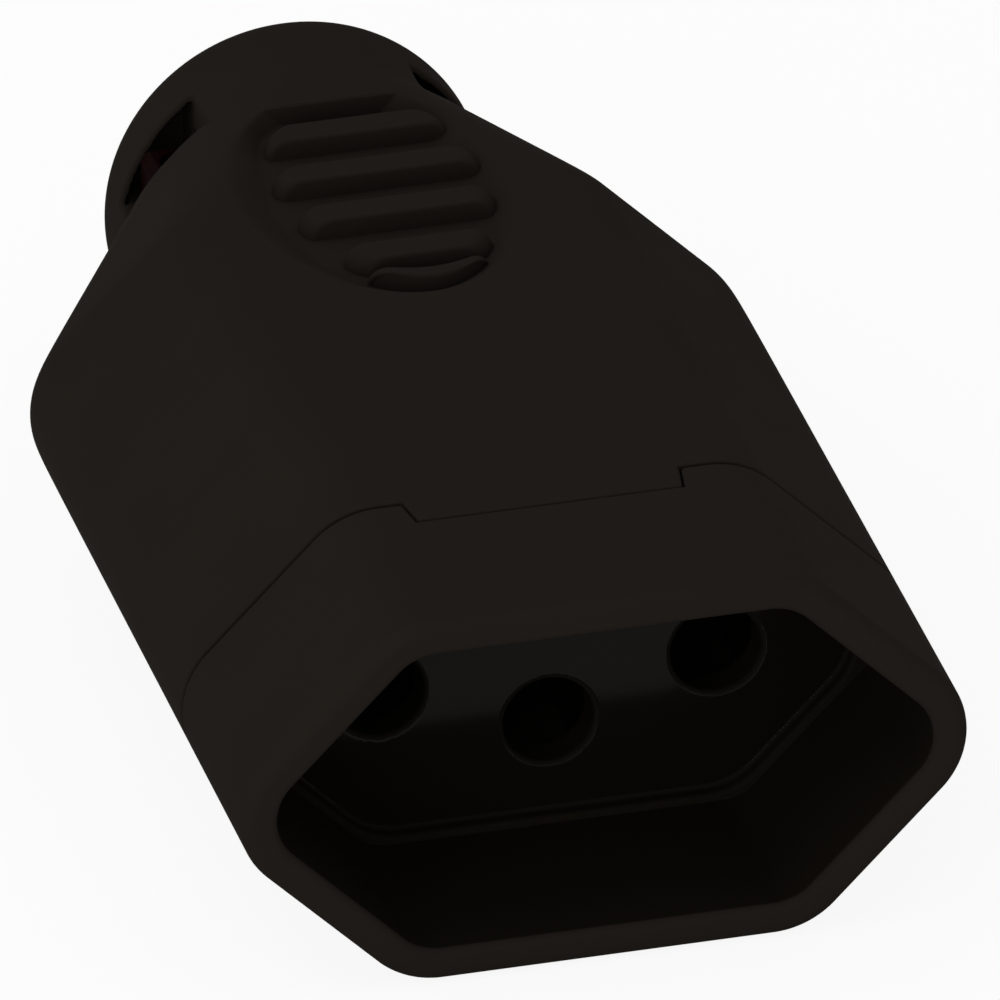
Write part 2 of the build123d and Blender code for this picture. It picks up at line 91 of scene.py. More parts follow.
class Slot(Enum):
    """Material slots of the record."""

    HOUSING = "housing"
    FRONT = "front"
    INSULATOR = "insulator"
    FIBRE = "fibre"
    CONTACTS = "contacts"
    PLATES = "plates"
    SCREWS = "screws"


class Zone(Enum):
    """Material index on the front moulding: skin, and recess wall and floor in painted shade."""

    SKIN = 0
    SHADED_WALL = 1
    POLISHED_SHADED_FLOOR = 2


def linear(hex_colour: str) -> tuple[float, float, float, float]:
    """Turns an sRGB hex colour to linear.

    Args:
        hex_colour: Six hex digits after a hash sign.

    Returns:
        Red, green, blue and alpha for a colour socket.
    """
    channels = []
    for start in (1, 3, 5):
        value = int(hex_colour[start:start + 2], 16) / 255
        channels.append(value / 12.92 if value <= 0.04045 else ((value + 0.055) / 1.055) ** 2.4)
    return channels[0], channels[1], channels[2], 1.0


def per_metre(size_mm: float) -> float:
    """Pattern scale on Object coordinates for a feature of a size in millimetres."""
    return 1.0 / (size_mm * MM)


def add_node(tree: bpy.types.NodeTree, kind: str, settings: dict | None = None,
             inputs: dict | None = None) -> bpy.types.Node:
    """Adds a node with its settings and its inputs.

    Args:
        tree: Node tree that gets the node.
        kind: Type name of the node.
        settings: Attributes of the node to set.
        inputs: Socket name or index to a value, or to the output socket that feeds it.

    Returns:
        The new node.
    """
    node = tree.nodes.new(kind)
    for name, value in (settings or {}).items():
        setattr(node, name, value)
    for key, value in (inputs or {}).items():
        if isinstance(value, bpy.types.NodeSocket):
            tree.links.new(value, node.inputs[key])
        else:
            node.inputs[key].default_value = value
    return node


def add_object(name: str, data: bpy.types.ID) -> bpy.types.Object:
    """Adds an object with its mesh, lamp or camera to the scene."""
    made = bpy.data.objects.new(name, data)
    bpy.context.scene.collection.objects.link(made)
    return made


def plain_mesh(name: str, places: Sequence, faces: Sequence) -> bpy.types.Mesh:
    """Makes a mesh of places and of faces that number them."""
    made = bpy.data.meshes.new(name)
    made.from_pydata(places, [], faces)
    return made


def applied(carrier: bpy.types.Object) -> bpy.types.Mesh:
    """Keeps what an object's modifiers make as a plain mesh, and removes the object."""
    bpy.context.view_layer.update()
    evaluated = carrier.evaluated_get(bpy.context.evaluated_depsgraph_get())
    made = bpy.data.meshes.new_from_object(evaluated)
    carrier.modifiers.clear()
    bpy.data.objects.remove(carrier)
    return made


# Noise settings that all finishes share.
GRAIN_DETAIL = 3.0
GRAIN_ROUGHNESS = 0.55
GRAIN_RANGE = (0.3, 0.7)
CLOUD_DETAIL = 2.0


@dataclass(frozen=True)
class Finish:
    """A surface finish with a fine grain, made as one procedural material.

    Attributes:
        name: Name of the material.
        light: Lighter tone of the surface, sRGB hex.
        dark: Darker tone of the surface, sRGB hex.
        metallic: Metallic value of the shader.
        ior: Index of refraction, or None for the default of a metal.
        roughness: Lowest and highest roughness over the surface.
        grain_mm: Size of the grain.
        stretch: Grain length along X, Y and Z, as a share of the grain size.
        depth_mm: Height of the grain in the bump.
        cloud_mm: Size of the slow change of tone.
    """

    name: str
    light: str
    dark: str
    metallic: float
    ior: float | None
    roughness: tuple[float, float]
    grain_mm: float
    stretch: tuple[float, float, float]
    depth_mm: float
    cloud_mm: float

    def material(self) -> bpy.types.Material:
        """Builds the material.

        Returns:
            A node material on Object coordinates.
        """
        made = bpy.data.materials.new(self.name)
        made.use_nodes = True
        tree = made.node_tree
        shader = tree.nodes["Principled BSDF"]
        shader.inputs["Metallic"].default_value = self.metallic
        if self.ior is not None:
            shader.inputs["IOR"].default_value = self.ior
        place = add_node(tree, "ShaderNodeTexCoord")
        turned = add_node(tree, "ShaderNodeMapping", {"vector_type": "TEXTURE"},
                          {"Vector": place.outputs["Object"], "Scale": self.stretch})
        grain = add_node(tree, "ShaderNodeTexNoise", None,
                         {"Vector": turned.outputs["Vector"], "Scale": per_metre(self.grain_mm),
                          "Detail": GRAIN_DETAIL, "Roughness": GRAIN_ROUGHNESS})
        cloud = add_node(tree, "ShaderNodeTexNoise", None,
                         {"Vector": place.outputs["Object"], "Scale": per_metre(self.cloud_mm),
                          "Detail": CLOUD_DETAIL})
        tone = add_node(tree, "ShaderNodeMix", {"data_type": "RGBA"},
                        {"Factor": cloud.outputs["Fac"], "A": linear(self.dark),
                         "B": linear(self.light)})
        rough = add_node(tree, "ShaderNodeMapRange", None,
                         {"Value": grain.outputs["Fac"],
                          "From Min": GRAIN_RANGE[0], "From Max": GRAIN_RANGE[1],
                          "To Min": self.roughness[0], "To Max": self.roughness[1]})
        bump = add_node(tree, "ShaderNodeBump", None,
                        {"Strength": 1.0, "Distance": self.depth_mm * MM,
                         "Height": grain.outputs["Fac"]})
        tree.links.new(tone.outputs["Result"], shader.inputs["Base Color"])
        tree.links.new(rough.outputs["Result"], shader.inputs["Roughness"])
        tree.links.new(bump.outputs["Normal"], shader.inputs["Normal"])
        return made


# Black polyamide from a spark-eroded mould: nearly black with a warm cast, dull from every side.
# The grain of such a mould is about 0.1 mm, and is drawn at 0.3 mm so that it shows. The index of
# refraction is far below the usual 1.5, matched to a surface that shows almost no sheen.
MOULDED_POLYAMIDE = Finish("black polyamide, spark-eroded mould", "#221e1a", "#1f1b18", 0.0, 1.05,
                           (0.84, 0.94), 0.3, (1.0, 1.0, 1.0), 0.010, 9.0)
# The same polyamide on the walls of the recess, where the mould's core formed it: flatter grain,
# lower roughness, and tones darker than the skin's as painted shade inside the recess.
RECESS_WALL_SHADED_POLYAMIDE = Finish("black polyamide, recess walls, painted shade", "#181511", "#15120e", 0.0, 1.05,
                          (0.5, 0.6), 0.3, (1.0, 1.0, 1.0), 0.001, 9.0)
# The same polyamide on the floor of the recess, where the core's end was polished: it mirrors
# what lies in front of it, and its tones are darker still as painted shade deep in the recess.
POLISHED_FLOOR_SHADED_POLYAMIDE = Finish("black polyamide, polished recess floor, painted shade", "#110f0b", "#0f0d09", 0.0, 1.155,
                            (0.10, 0.13), 0.3, (1.0, 1.0, 1.0), 0.0004, 9.0)
# Phenolic moulding inside the body: dark grey-brown and dull.
PHENOLIC = Finish("phenolic moulding", "#1c1815", "#161311", 0.0, 1.3,
                  (0.55, 0.7), 0.3, (1.0, 1.0, 1.0), 0.008, 5.0)
# Red vulcanised fibre, sawn from sheet, with matted paper fibres along the bar; its tones are
# darkened almost to black as painted shade of the dark inside of the neck.
SHADED_VULCANISED_FIBRE = Finish("vulcanised fibre, sawn, painted shade", "#120404", "#0b0202", 0.0, 1.05,
                          (0.6, 0.8), 0.25, (6.0, 1.0, 1.0), 0.015, 2.5)
# Rolled brass strip: fine rolling lines along the strip, and a slow change of tone in clouds. Its
# tones are darkened to a dark brown as painted shade of the shaded pin holes and terminals.
SHADED_ROLLED_BRASS = Finish("brass strip, rolled, painted shade", "#3c3120", "#2a2216", 1.0, None,
                      (0.32, 0.5), 0.12, (1.0, 14.0, 1.0), 0.002, 3.0)
# Zinc-plated steel: bright grey with a faint blue cast and fine turning marks.
ZINC_PLATED_STEEL = Finish("steel, zinc plated", "#b9bec4", "#9aa0a8", 1.0, None,
                           (0.25, 0.42), 0.12, (1.0, 1.0, 1.0), 0.002, 2.0)

FINISHES: dict[Slot, Finish] = {
    Slot.HOUSING: MOULDED_POLYAMIDE,
    Slot.FRONT: MOULDED_POLYAMIDE,
    Slot.INSULATOR: PHENOLIC,
    Slot.FIBRE: SHADED_VULCANISED_FIBRE,
    Slot.CONTACTS: SHADED_ROLLED_BRASS,
    Slot.PLATES: ZINC_PLATED_STEEL,
    Slot.SCREWS: ZINC_PLATED_STEEL,
}


def meet(a: Array, b: Array, radius: float) -> Array:
    """What two fields share, with the edge between them rounded to a radius."""
    first = a + radius
    second = b + radius
    beyond = np.hypot(np.maximum(first, 0.0), np.maximum(second, 0.0))
    return np.minimum(np.maximum(first, second), 0.0) + beyond - radius


def join(a: Array, b: Array, radius: float) -> Array:
    """Two fields together, with the corner between them filled to a radius."""
    return -meet(-a, -b, radius)


def cut(a: Array, b: Array, radius: float) -> Array:
    """The first field less the second, with the edge rounded to a radius."""
    return meet(a, -b, radius)


def soft_ramp(share: Array, softness: float) -> Array:
    """A ramp from 0 to 1 whose two corners are rounded.

    Args:
        share: Position along the ramp, 0 at its start and 1 at its end.
        softness: Width of each rounded corner, as a share of the ramp.

    Returns:
        Values from 0 to 1.
    """
    def soft_step(value: Array) -> Array:
        """Zero below nought and the value itself above it, with a rounded corner."""
        return 0.5 * (value + np.sqrt(value * value + softness * softness))
    return soft_step(share) - soft_step(share - 1.0)


def neighbours(values: Array, axis: int) -> tuple[Array, Array]:
    """An array without its last layer along an axis, and without its first one."""
    before = (slice(None),) * axis
    return values[before + (slice(None, -1),)], values[before + (slice(1, None),)]


@dataclass(frozen=True)
class Lattice:
    """Sample lines along X, from the mating rim and above the axis, in millimetres."""

    across: Array
    along: Array
    above: Array

    @staticmethod
    def lines(*runs: tuple[float, float, float]) -> Array:
        """Sample lines through runs of even spacing.

        Args:
            runs: Start, end and spacing of each run; each run starts where the last one ends.

        Returns:
            The lines in rising order.
        """
        parts = []
        for start, end, spacing in runs:
            count = max(1, round((end - start) / spacing))
            parts.append(np.linspace(start, end, count, endpoint=False))
        parts.append(np.array([runs[-1][1]]))
        return np.concatenate(parts)


@dataclass(frozen=True)
class FieldMesher:
    """Turns a distance field into a closed mesh that lies on the field's surface.

    Attributes:
        passes: How often each point is drawn on to the surface.
        probe: Step for the field's slope, in millimetres.
        longest_step: Furthest that a point moves in one pass, in millimetres.
        least_steep: Least square of the slope that a step is worked out with.
        most_triangles: A mesh with more than this is thinned where it is flat.
    """

    passes: int = 3
    probe: float = 0.004
    longest_step: float = 0.3
    least_steep: float = 0.05
    most_triangles: int = 180000

    def net(self, shape: Field, lattice: Lattice) -> tuple[Array, Array]:
        """Lays one point in each cell that the surface crosses, and joins them with quads.

        Args:
            shape: Field to mesh, negative inside.
            lattice: Sample lines.

        Returns:
            Points as an N by 3 array and quads as an M by 4 array, facing outwards.
        """
        grid = np.meshgrid(lattice.across, lattice.along, lattice.above, indexing="ij")
        value = shape(*grid)
        inside = value < 0.0
        cells = tuple(n - 1 for n in value.shape)
        total = np.zeros(cells + (3,))
        count = np.zeros(cells)
        for axis in range(3):
            start, end = neighbours(value, axis)
            crossed = np.not_equal(*neighbours(inside, axis))
            share = np.where(crossed, start / np.where(crossed, start - end, 1.0), 0.0)
            spots = [neighbours(part, axis)[0] for part in grid]
            spots[axis] = spots[axis] + share * (neighbours(grid[axis], axis)[1] - spots[axis])
            one, two = (k for k in range(3) if k != axis)
            for first, second in product((0, 1), repeat=2):
                here, *near = (neighbours(neighbours(part, one)[first], two)[second]
                               for part in (crossed, *spots))
                count += here
                for k, spot in enumerate(near):
                    total[..., k] += np.where(here, spot, 0.0)
        used = count > 0
        number = np.full(cells, -1)
        number[used] = np.arange(int(used.sum()))
        points = total[used] / count[used][:, None]
        return points, self._quads(inside, number)

    @staticmethod
    def _quads(inside: Array, number: Array) -> Array:
        """Joins the points of the four cells round each crossed lattice edge.

        Args:
            inside: Whether each lattice point is inside.
            number: Index of the point in each cell.

        Returns:
            Quads as an M by 4 array, facing outwards.
        """
        quads = []
        for axis in range(3):
            one, two = (axis + 1) % 3, (axis + 2) % 3
            inner = [slice(1, -1)] * 3
            inner[axis] = slice(None)
            start, end = neighbours(inside[tuple(inner)], axis)
            ring = np.stack([neighbours(neighbours(number, one)[first], two)[second]
                             for first, second in ((0, 0), (1, 0), (1, 1), (0, 1))], axis=-1)
            quads += [ring[start & ~end], ring[~start & end][:, ::-1]]
        return np.concatenate(quads)

    def slope(self, shape: Field, points: Array) -> Array:
        """The field's slope at points.

        Args:
            shape: Field to read.
            points: N by 3 array of places.

        Returns:
            N by 3 array of slopes.
        """
        result = np.empty_like(points)
        for axis in range(3):
            ahead = points.copy()
            behind = points.copy()
            ahead[:, axis] += self.probe
            behind[:, axis] -= self.probe
            result[:, axis] = (shape(*ahead.T) - shape(*behind.T)) / (2 * self.probe)
        return result

    def settle(self, shape: Field, points: Array) -> Array:
        """Draws points on to the surface along the field's slope.

        Args:
            shape: Field whose surface the points go to.
            points: N by 3 array of places near the surface.

        Returns:
            N by 3 array of places on the surface.
        """
        for _ in range(self.passes):
            slope = self.slope(shape, points)
            steep = np.maximum((slope * slope).sum(axis=1), self.least_steep)
            step = shape(*points.T) / steep
            move = slope * step[:, None]
            length = np.linalg.norm(move, axis=1)
            move *= np.minimum(1.0, self.longest_step / np.maximum(length, TINY))[:, None]
            points = points - move
        return points

    def thinned(self, points: Array, quads: Array) -> bpy.types.Mesh:
        """Makes a mesh of points and quads, and thins it where it is flat.

        Args:
            points: N by 3 array of places in millimetres.
            quads: M by 4 array of point numbers.

        Returns:
            A mesh in millimetres.
        """
        made = plain_mesh("net", points.tolist(), quads.tolist())
        if 2 * len(quads) <= self.most_triangles:
            return made
        carrier = add_object("net", made)
        carrier.modifiers.new("thin", "DECIMATE").ratio = self.most_triangles / (2 * len(quads))
        return applied(carrier)

    def mesh(self, name: str, shape: Field, lattice: Lattice, frame: "SocketFrame",
             zones: Field | None = None) -> bpy.types.Mesh:
        """Makes the mesh of a field, with the field's own normals.

        Args:
            name: Name of the mesh.
            shape: Field to mesh.
            lattice: Sample lines.
            frame: Where the socket's own frame stands in the part's.
            zones: Material index at a place; without it all faces keep material 0.

        Returns:
            A closed mesh in metres, in the part's frame.
        """
        points, quads = self.net(shape, lattice)
        made = self.thinned(self.settle(shape, points), quads)
        made.name = name
        places = np.empty(3 * len(made.vertices))
        made.vertices.foreach_get("co", places)
        points = self.settle(shape, places.reshape(-1, 3))
        slope = self.slope(shape, points)
        normals = slope / np.maximum(np.linalg.norm(slope, axis=1), TINY)[:, None]
        made.vertices.foreach_set("co", frame.place(points).ravel())
        made.polygons.foreach_set("use_smooth", [True] * len(made.polygons))
        if zones is not None:
            middles = np.empty(3 * len(made.polygons))
            made.polygons.foreach_get("center", middles)
            index = zones(*frame.back(middles.reshape(-1, 3)).T)
            made.polygons.foreach_set("material_index", index.astype(np.int32))
        made.validate()
        made.normals_split_custom_set_from_vertices(normals.tolist())
        made.update()
        return made


@dataclass(frozen=True)
class SocketFrame:
    """The socket's own frame: X across, distance from the mating rim, height above the axis."""

    shift: tuple[float, float, float] = (0.0, -BODY_LENGTH / 2, BODY_HEIGHT / 2)

    def place(self, points: Array) -> Array:
        """Places in millimetres in the socket's frame, as metres in the part's frame."""
        return (points + np.array(self.shift)) * MM

    def back(self, places: Array) -> Array:
        """Places in metres in the part's frame, as millimetres in the socket's frame."""
        return places / MM - np.array(self.shift)

    def point(self, across: float, along: float, above: float) -> Vector:
        """One place in the part's frame, in metres."""
        return Vector(self.place(np.array([across, along, above])))


@dataclass(frozen=True)
class BodyForm:
    """Outer form of the body: a flattened hexagon that tapers to a round neck. Millimetres."""

    height: float = BODY_HEIGHT
    flat: float = 22.8
    corner_radius: float = 5.0
    neck_radius: float = 10.8
    neck_at: float = 65.5
    taper_length: float = 15.5
    softness: float = 0.055

    def section(self, d: Array) -> tuple[Array, Array, Array]:
        """Section of the body at distances from the mating rim.

        Args:
            d: Distances from the mating rim.

        Returns:
            Corner radius, and half the flat and the height of the corners' centres above the axis.
        """
        share = soft_ramp((d - self.neck_at + self.taper_length) / self.taper_length, self.softness)
        radius = self.corner_radius + (self.neck_radius - self.corner_radius) * share
        half_height = self.height / 2 + (self.neck_radius - self.height / 2) * share
        half_flat = self.flat / 2 + (self.neck_radius * HALF_CORNER - self.flat / 2) * share
        run = np.maximum(half_flat - radius * HALF_CORNER, 0.0)
        return radius, run, np.maximum(half_height - radius, 0.0)

    def top(self, x: Array, d: Array) -> Array:
        """Height of the top skin above the axis, as far out as its corners."""
        radius, run, rise = self.section(d)
        beyond = np.clip(np.abs(x) - run, 0.0, radius)
        return rise + np.sqrt(radius * radius - beyond * beyond)

    def skin(self, x: Array, d: Array, h: Array) -> Array:
        """Distance from the outer skin, without its ends.

        Args:
            x: Places across.
            d: Distances from the mating rim.
            h: Heights above the axis.

        Returns:
            Distances, negative inside.
        """
        radius, run, rise = self.section(d)
        px = np.abs(x)
        ph = np.abs(h)
        to_flat = np.hypot(px - np.clip(px, 0.0, run), ph - rise)
        along = np.clip((px - run + rise - ph) / 2, 0.0, rise)
        to_slant = np.hypot(px - run - along, ph - rise + along)
        nearest = np.minimum(to_flat, to_slant)
        inside = (ph < rise) & (px + ph < run + rise)
        return np.where(inside, -nearest, nearest) - radius


@dataclass(frozen=True)
class Tongue:
    """Tongue of the housing that keys into the collar. Millimetres."""

    half_width: float = 7.45
    flare: float = 0.3
    tip_at: float = 11.9
    root_at: float = 13.9
    root_overlap: float = 0.8
    thickness: float = 1.0

    def block(self, form: BodyForm, x: Array, d: Array, h: Array, clearance: float) -> Array:
        """Field of the tongue, grown by a clearance.

        Args:
            form: Outer form that the tongue continues.
            x: Places across.
            d: Distances from the mating rim.
            h: Heights above the axis.
            clearance: Growth on each side.

        Returns:
            Distances, negative inside.
        """
        widening = np.clip((d - self.tip_at) / (self.root_at - self.tip_at), 0.0, 1.0) * self.flare
        side = np.abs(x) - self.half_width - widening - clearance
        plan = np.maximum(side, self.tip_at - clearance - d)
        under = form.height / 2 - self.thickness - clearance - h
        return np.maximum(np.maximum(plan, under), d - self.root_at - self.root_overlap)


@dataclass(frozen=True)
class ThumbGrip:
    """Sunk oval on the top, cut off straight at the rear, with ribs across it. Millimetres."""

    middle: float = 50.9
    half_width: float = 7.9
    half_length: float = 13.2
    half_length_rear: float = 12.2
    rear: float = 61.6
    depth: float = 1.25
    slope: float = 2.0
    slope_rear: float = 0.6
    slope_turn: tuple[float, float] = (5.0, 9.5)
    softness: float = 0.12
    pad_offset: float = 0.6
    pad_middle: float = 52.4
    pad_half_width: float = 6.1
    pad_half_length: float = 12.6
    rib_middle: float = 48.33
    front_rib_shift: float = 1.35
    pitch: float = 5.03
    rib_width: float = 1.95
    rib_root: float = 0.5
    rib_edge: float = 0.18
    rib_end: float = 1.3
    rib_corner: float = 0.9
    ribs: int = 5

    def sinking(self, x: Array, d: Array, h: Array) -> Array:
        """How far the top is sunk at a place.

        Args:
            x: Places across.
            d: Distances from the mating rim.
            h: Heights above the axis.

        Returns:
            Depths, 0 outside the oval.
        """
        y = d - self.middle
        reach = np.where(y > 0.0, self.half_length_rear, self.half_length)
        level = np.hypot(x / self.half_width, y / reach)
        steep = np.hypot(x / self.half_width ** 2, y / reach ** 2)
        outside = level * (level - 1.0) / np.maximum(steep, TINY)
        slope = np.interp(y, self.slope_turn, (self.slope, self.slope_rear))
        share = soft_ramp(-outside / slope, self.softness)
        return np.where(h > 0.0, self.depth * share, 0.0)


@dataclass
class RearHousing:
    """One-piece housing: hexagonal sleeve, taper, windowed neck and cable entry. Millimetres."""

    form: BodyForm = field(default_factory=BodyForm)
    grip: ThumbGrip = field(default_factory=ThumbGrip)
    tongue: Tongue = field(default_factory=Tongue)
    wall: float = 2.0
    front_at: float = 14.2
    end_at: float = BODY_LENGTH
    end_rounding: float = 4.0
    edge: float = 0.15
    window_front: float = 63.95
    window_rear: float = 68.35
    window_inner: float = 6.2
    window_bottom: float = 2.4
    window_edge: float = 0.25
    window_lip: float = 0.4
    window_undercut: float = 2.4
    undercut_overlap: float = 1.0
    saddle_top: float = -1.0
    saddle_at: float = 61.95
    saddle_radius: float = 6.15
    saddle_edge: float = 0.2
    bore_radius: float = 5.75
    bore_rounding: float = 0.8
    bore_overlap: float = 0.5
    screw_offset: float = 7.4
    shank_radius: float = 1.4
    head_radius: float = 2.5
    head_seat: float = -6.0
    seat_edge: float = 0.25

    def field(self, x: Array, d: Array, h: Array) -> Array:
        """Field of the whole moulding.

        Args:
            x: Places across.
            d: Distances from the mating rim.
            h: Heights above the axis.

        Returns:
            Distances, negative inside.
        """
        skin = self.form.skin(x, d, h)
        sunk = np.minimum(skin + self.grip.sinking(x, d, h), self.grip.rear - d)
        body = meet(np.maximum(skin, sunk), d - self.end_at, self.end_rounding)
        body = meet(body, self.front_at - d, self.edge)
        cavity = np.maximum(skin + self.wall, d - self.window_rear)
        body = cut(body, cavity, self.edge)
        saddle = np.maximum(np.maximum(h - self.saddle_top, self.saddle_at - d),
                            np.maximum(skin + self.wall / 2, d - self.window_rear - self.edge))
        body = np.minimum(body, saddle)
        from_axis = np.hypot(x, h)
        body = cut(body, np.maximum(from_axis - self.saddle_radius, d - self.window_rear),
                   self.saddle_edge)
        bore = np.maximum(from_axis - self.bore_radius, self.window_rear - self.bore_overlap - d)
        body = cut(body, bore, self.bore_rounding)
        body = cut(body, self._windows(x, d, h), self.window_edge)
        body = np.maximum(body, -self._undercuts(x, d, h, skin))
        body = cut(body, self._screw_seats(x, d, h), self.seat_edge)
        tab = meet(self.tongue.block(self.form, x, d, h, 0.0), skin, self.edge)
        return np.minimum(body, tab)

    def _windows(self, x: Array, d: Array, h: Array) -> Array:
        """Field of the two side windows of the neck, each open upwards to a blind side."""
        middle = (self.window_front + self.window_rear) / 2
        along = np.abs(d - middle) - (self.window_rear - self.window_front) / 2
        blind = np.maximum(self.window_inner - np.abs(x), self.window_bottom - h)
        return meet(along, blind, self.window_edge)

    def _undercuts(self, x: Array, d: Array, h: Array, skin: Array) -> Array:
        """Field of the pockets behind the rear lip of each window."""
        along = np.maximum(self.window_rear - self.undercut_overlap - d,
                           d - self.window_rear - self.window_undercut)
        blind = np.maximum(self.window_inner - np.abs(x), self.window_bottom - h)
        return np.maximum(np.maximum(along, blind), skin + self.window_lip)

    def _screw_seats(self, x: Array, d: Array, h: Array) -> Array:
        """Field of the stepped holes of the clamp screws."""
        middle = (self.window_front + self.window_rear) / 2
        from_screw = np.hypot(np.abs(x) - self.screw_offset, d - middle)
        shank = np.maximum(from_screw - self.shank_radius, h)
        head = np.maximum(from_screw - self.head_radius, h - self.head_seat)
        return np.minimum(shank, head)

    def lattice(self) -> Lattice:
        """Sample lines: close at the seam, the grip and the neck, wide along the sleeve."""
        across = Lattice.lines((-20.8, 20.8, 0.22))
        along = Lattice.lines((11.4, 15.1, 0.15), (15.1, 37.0, 1.0), (37.0, 61.0, 0.25),
                              (61.0, 62.2, 0.12), (62.2, 63.4, 0.25), (63.4, 74.8, 0.16))
        above = Lattice.lines((-11.5, 8.6, 0.25), (8.6, 11.5, 0.12))
        return Lattice(across, along, above)


@dataclass
class SocketFront:
    """Collar, recess, floor with the pin holes, and the contact block behind it. Millimetres."""

    form: BodyForm = field(default_factory=BodyForm)
    ledge_form: BodyForm = BodyForm(corner_radius=6.6)
    tongue: Tongue = field(default_factory=Tongue)
    collar_length: float = 13.9
    collar_wall: float = 2.0
    recess_depth: float = 13.0
    recess_draft: float = 0.2
    rim_outer: float = 0.9
    rim_inner: float = 0.5
    ledge_width: float = 0.45
    ledge_height: float = 0.9
    ledge_edge: float = 0.3
    floor_corner: float = 0.25
    edge: float = 0.15
    inner_edge: float = 0.1
    tongue_clearance: float = 0.1
    tongue_edge: float = 0.2
    spigot_inset: float = 2.15
    spigot_overlap: float = 0.5
    block_end: float = 33.5
    chamber_at: float = 15.2
    chamber_half_width: float = 3.85
    chamber_half_height: float = 3.55
    hole_radius: float = 2.55
    hole_edge: float = 0.3
    hole_overlaps: tuple[float, float] = (1.5, 0.5)
    poles: tuple[tuple[float, float], ...] = ((-9.5, 0.0), (0.0, -3.0), (9.5, 0.0))
    pilot_radius: float = 1.5
    pilot_rise: float = 4.9
    pilot_at: float = 26.4
    # where the recess walls and floor take the materials darkened as painted shade
    shade_from: float = 0.35
    shade_margin: float = 0.15
    shaded_floor_margin: float = 0.012

    def field(self, x: Array, d: Array, h: Array) -> Array:
        """Field of the whole moulding.

        Args:
            x: Places across.
            d: Distances from the mating rim.
            h: Heights above the axis.

        Returns:
            Distances, negative inside.
        """
        skin = self.form.skin(x, np.zeros_like(d), h)
        collar = meet(meet(skin, -d, self.rim_outer), d - self.collar_length, self.edge)
        ledge_at = self.recess_depth - self.ledge_height
        draft = self.recess_draft * np.clip(d / ledge_at, 0.0, 1.0)
        wide = np.maximum(skin + self.collar_wall + draft, d - ledge_at)
        inset = self.collar_wall + self.recess_draft + self.ledge_width
        narrow = self.ledge_form.skin(x, np.zeros_like(d), h) + inset
        narrow = meet(narrow, d - self.recess_depth, self.floor_corner)
        recess = join(wide, narrow, self.ledge_edge)
        collar = cut(collar, recess, self.rim_inner)
        groove = self.tongue.block(self.form, x, d, h, self.tongue_clearance)
        collar = cut(collar, groove, self.tongue_edge)
        spigot = np.maximum(skin + self.spigot_inset, self.collar_length - self.spigot_overlap - d)
        front = np.minimum(collar, meet(spigot, d - self.block_end, self.edge))
        reach = np.maximum(self.recess_depth - self.hole_overlaps[0] - d,
                           d - self.chamber_at - self.hole_overlaps[1])
        for pole_x, pole_h in self.poles:
            hole = np.maximum(np.hypot(x - pole_x, h - pole_h) - self.hole_radius, reach)
            front = cut(front, hole, self.hole_edge)
            side = np.abs(x - pole_x) - self.chamber_half_width
            upright = np.abs(h - pole_h) - self.chamber_half_height
            chamber = np.maximum(np.maximum(side, upright), self.chamber_at - d)
            front = cut(front, chamber, self.inner_edge)
        pilot = np.maximum(np.hypot(x, h - self.pilot_rise) - self.pilot_radius, self.pilot_at - d)
        return cut(front, pilot, self.inner_edge)

    def zones(self, x: Array, d: Array, h: Array) -> Array:
        """Material index at a place, in the order of Zone; the recess gets painted shade."""
        depth = -self.form.skin(x, np.zeros_like(d), h)
        # the recess walls and floor take materials darkened as painted shade of the recess
        inside = ((depth > self.collar_wall - self.shade_margin) & (d > self.shade_from)
                  & (d < self.chamber_at))
        floor = inside & (np.abs(d - self.recess_depth) < self.shaded_floor_margin)
        core = np.where(floor, Zone.POLISHED_SHADED_FLOOR.value, Zone.SHADED_WALL.value)
        return np.where(inside, core, Zone.SKIN.value)

    def lattice(self) -> Lattice:
        """Sample lines: close at the rim, the floor and the seam, wide along the block."""
        across = Lattice.lines((-20.8, 20.8, 0.16))
        along = Lattice.lines((-0.3, 1.5, 0.15), (1.5, 10.6, 0.9), (10.6, 15.6, 0.15),
                              (15.6, 32.6, 1.4), (32.6, 34.0, 0.25))
        above = Lattice.lines((-11.5, 11.5, 0.16))
        return Lattice(across, along, above)


